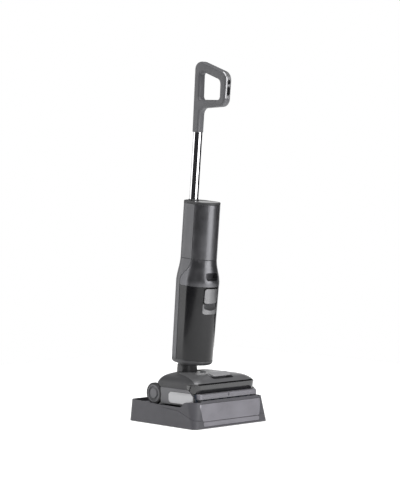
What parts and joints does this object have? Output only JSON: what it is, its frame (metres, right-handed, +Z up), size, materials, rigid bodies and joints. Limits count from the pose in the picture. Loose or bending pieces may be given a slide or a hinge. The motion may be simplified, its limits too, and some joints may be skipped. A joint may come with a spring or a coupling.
{
  "type": "wet dry floor scrubber in charging dock",
  "caption": "Upright wet dry floor scrubber with a looped handle on a chrome tube, front tank and roller head, parked in its charging dock.",
  "frame": {"origin": "on the floor under the centre of the dock's footprint", "axes": "+Z up, -Y the front of the dock and machine, +X to the machine's left-to-right axis"},
  "size_m": [0.306, 0.302, 1.0977],
  "materials": {
    "dark_shell": "satin moulded",
    "grey_shell": "satin moulded",
    "front_shell": "satin pearl coat",
    "dock_plastic": "fine texture",
    "silver_plastic": "silver coat",
    "black_gloss": "polished",
    "smoke_tank": "smoked clear",
    "chrome_tube": "polished",
    "steel_pin": "ground",
    "brass_contact": "plated",
    "black_rubber": "matt",
    "tyre_rubber": "matt",
    "nap_fabric": "microfibre pile",
    "inner_plastic": "moulded",
    "white_plastic": "moulded",
    "motor_steel": "drawn",
    "circuit_green": "solder mask",
    "filter_fabric": "pleated",
    "display_glass": "polished"
  },
  "bodies": {
    "dock": {"dock_base": "dock_plastic", "dock_cowl": "dock_plastic", "dock_front_panels": "silver_plastic", "dock_bottom_plate": "inner_plastic", "dock_rubber_feet": "black_rubber", "dock_screws": "steel_pin", "contact_tower": "dock_plastic", "power_inlet": "inner_plastic"},
    "charge_pins": {"charge_pins": "brass_contact"},
    "head": {"head_top_shell": "dark_shell", "side_covers": "grey_shell", "side_inserts": "silver_plastic", "head_chassis": "inner_plastic", "drive_belt": "black_rubber", "roller_motor": "motor_steel", "roller_scraper": "black_rubber", "water_spray_bar": "white_plastic", "suction_duct": "inner_plastic", "water_pump": "inner_plastic", "head_contacts": "brass_contact", "axle_pins": "steel_pin"},
    "cover": {"roller_cover": "grey_shell", "cover_window": "black_gloss", "head_bumper": "silver_plastic"},
    "cover_latch": {"cover_latch": "silver_plastic"},
    "cover_button": {"cover_button": "grey_shell"},
    "roller": {"roller_nap": "nap_fabric", "roller_core": "white_plastic", "roller_pulley": "white_plastic"},
    "motor_pulley": {"motor_pulley": "steel_pin"},
    "wheel_left": {"wheel_tyre_left": "tyre_rubber", "wheel_hub_left": "grey_shell"},
    "wheel_right": {"wheel_tyre_right": "tyre_rubber", "wheel_hub_right": "grey_shell"},
    "front_rollers": {"front_rollers": "tyre_rubber"},
    "neck": {"neck_yoke": "dark_shell", "suction_hose": "inner_plastic"},
    "upright": {"body_base": "grey_shell", "body_spine": "inner_plastic", "upper_front_shell": "front_shell", "upper_rear_shell": "grey_shell", "top_cap": "dark_shell", "display_window": "display_glass", "suction_motor": "motor_steel", "battery_pack": "inner_plastic", "main_board": "circuit_green", "handle_tube": "chrome_tube", "handle_grip": "grey_shell", "control_fascia": "silver_plastic"},
    "suction_fan": {"suction_fan": "white_plastic"},
    "dirty_tank": {"dirty_tank": "smoke_tank", "dirty_tank_lid": "front_shell", "air_filter": "filter_fabric", "tank_latch_bezel": "silver_plastic"},
    "tank_float": {"tank_float": "white_plastic"},
    "tank_button": {"tank_button": "silver_plastic"},
    "clean_tank": {"clean_tank": "grey_shell"},
    "clean_tank_plug": {"clean_tank_plug": "black_rubber"},
    "power_button": {"power_button": "black_gloss"},
    "mode_button": {"mode_button": "black_gloss"}
  },
  "joints": [
    {"name": "machine_lift", "type": "slide", "parent": "dock", "child": "head", "axis": [0, 0, 1], "range_m": [0, 0.14]},
    {"name": "charge_pin_press", "type": "slide", "parent": "dock", "child": "charge_pins", "axis": [0, 1, 0], "range_m": [0, 0.0015], "stiffness_N_per_m": 300},
    {"name": "cover_slide_off", "type": "slide", "parent": "head", "child": "cover", "axis": [0, -1, 0], "range_m": [0, 0.08]},
    {"name": "cover_latch_lift", "type": "hinge", "parent": "cover", "child": "cover_latch", "pos_m": [0, -0.0802, 0.143], "axis": [-1, 0, 0], "range_deg": [0, 15], "stiffness_Nm_per_rad": 0.3, "springref_deg": -11.46},
    {"name": "cover_button_press", "type": "slide", "parent": "cover", "child": "cover_button", "axis": [0, 0, -1], "range_m": [0, 0.003], "stiffness_N_per_m": 400, "springref_m": -0.001},
    {"name": "roller_spin", "type": "hinge", "parent": "head", "child": "roller", "pos_m": [0, -0.096, 0.082], "axis": [1, 0, 0], "continuous": true},
    {"name": "roller_motor_spin", "type": "hinge", "parent": "head", "child": "motor_pulley", "pos_m": [0, -0.024, 0.092], "axis": [1, 0, 0], "continuous": true},
    {"name": "wheel_left_spin", "type": "hinge", "parent": "head", "child": "wheel_left", "pos_m": [-0.1265, 0.0565, 0.0894], "axis": [1, 0, 0], "continuous": true},
    {"name": "wheel_right_spin", "type": "hinge", "parent": "head", "child": "wheel_right", "pos_m": [0.1265, 0.0565, 0.0894], "axis": [1, 0, 0], "continuous": true},
    {"name": "front_rollers_spin", "type": "hinge", "parent": "head", "child": "front_rollers", "pos_m": [0, -0.051, 0.0665], "axis": [1, 0, 0], "continuous": true},
    {"name": "recline", "type": "hinge", "parent": "head", "child": "neck", "pos_m": [0, 0.05, 0.119], "axis": [-1, 0, 0], "range_deg": [0, 80]},
    {"name": "swivel", "type": "hinge", "parent": "neck", "child": "upright", "pos_m": [0, 0.04944, 0.17921], "axis": [0, -0.0924, 0.9957], "range_deg": [-40, 40]},
    {"name": "suction_fan_spin", "type": "hinge", "parent": "upright", "child": "suction_fan", "pos_m": [0, -0.0208, 0.51415], "axis": [0, -0.0924, 0.9957], "continuous": true},
    {"name": "dirty_tank_pull", "type": "slide", "parent": "upright", "child": "dirty_tank", "axis": [0, -0.9957, -0.0924], "range_m": [0, 0.12]},
    {"name": "tank_float_rise", "type": "slide", "parent": "dirty_tank", "child": "tank_float", "axis": [0, -0.0924, 0.9957], "range_m": [0, 0.09]},
    {"name": "tank_button_press", "type": "slide", "parent": "dirty_tank", "child": "tank_button", "axis": [0, 0.9957, 0.0924], "range_m": [0, 0.002], "stiffness_N_per_m": 500, "springref_m": -0.001},
    {"name": "clean_tank_pull", "type": "slide", "parent": "upright", "child": "clean_tank", "axis": [0, 0.9957, 0.0924], "range_m": [0, 0.1]},
    {"name": "clean_tank_plug_pull", "type": "slide", "parent": "clean_tank", "child": "clean_tank_plug", "axis": [0, 0.9957, 0.0924], "range_m": [0, 0.02]},
    {"name": "power_button_press", "type": "slide", "parent": "upright", "child": "power_button", "axis": [0, 0.9957, 0.0924], "range_m": [0, 0.0008], "stiffness_N_per_m": 400, "springref_m": -0.0005},
    {"name": "mode_button_press", "type": "slide", "parent": "upright", "child": "mode_button", "axis": [0, 0.9957, 0.0924], "range_m": [0, 0.0008], "stiffness_N_per_m": 400, "springref_m": -0.0005}
  ],
  "couplings": [
    {"joint": "roller_motor_spin", "follows": "roller_spin", "ratio": 1.75}
  ]
}
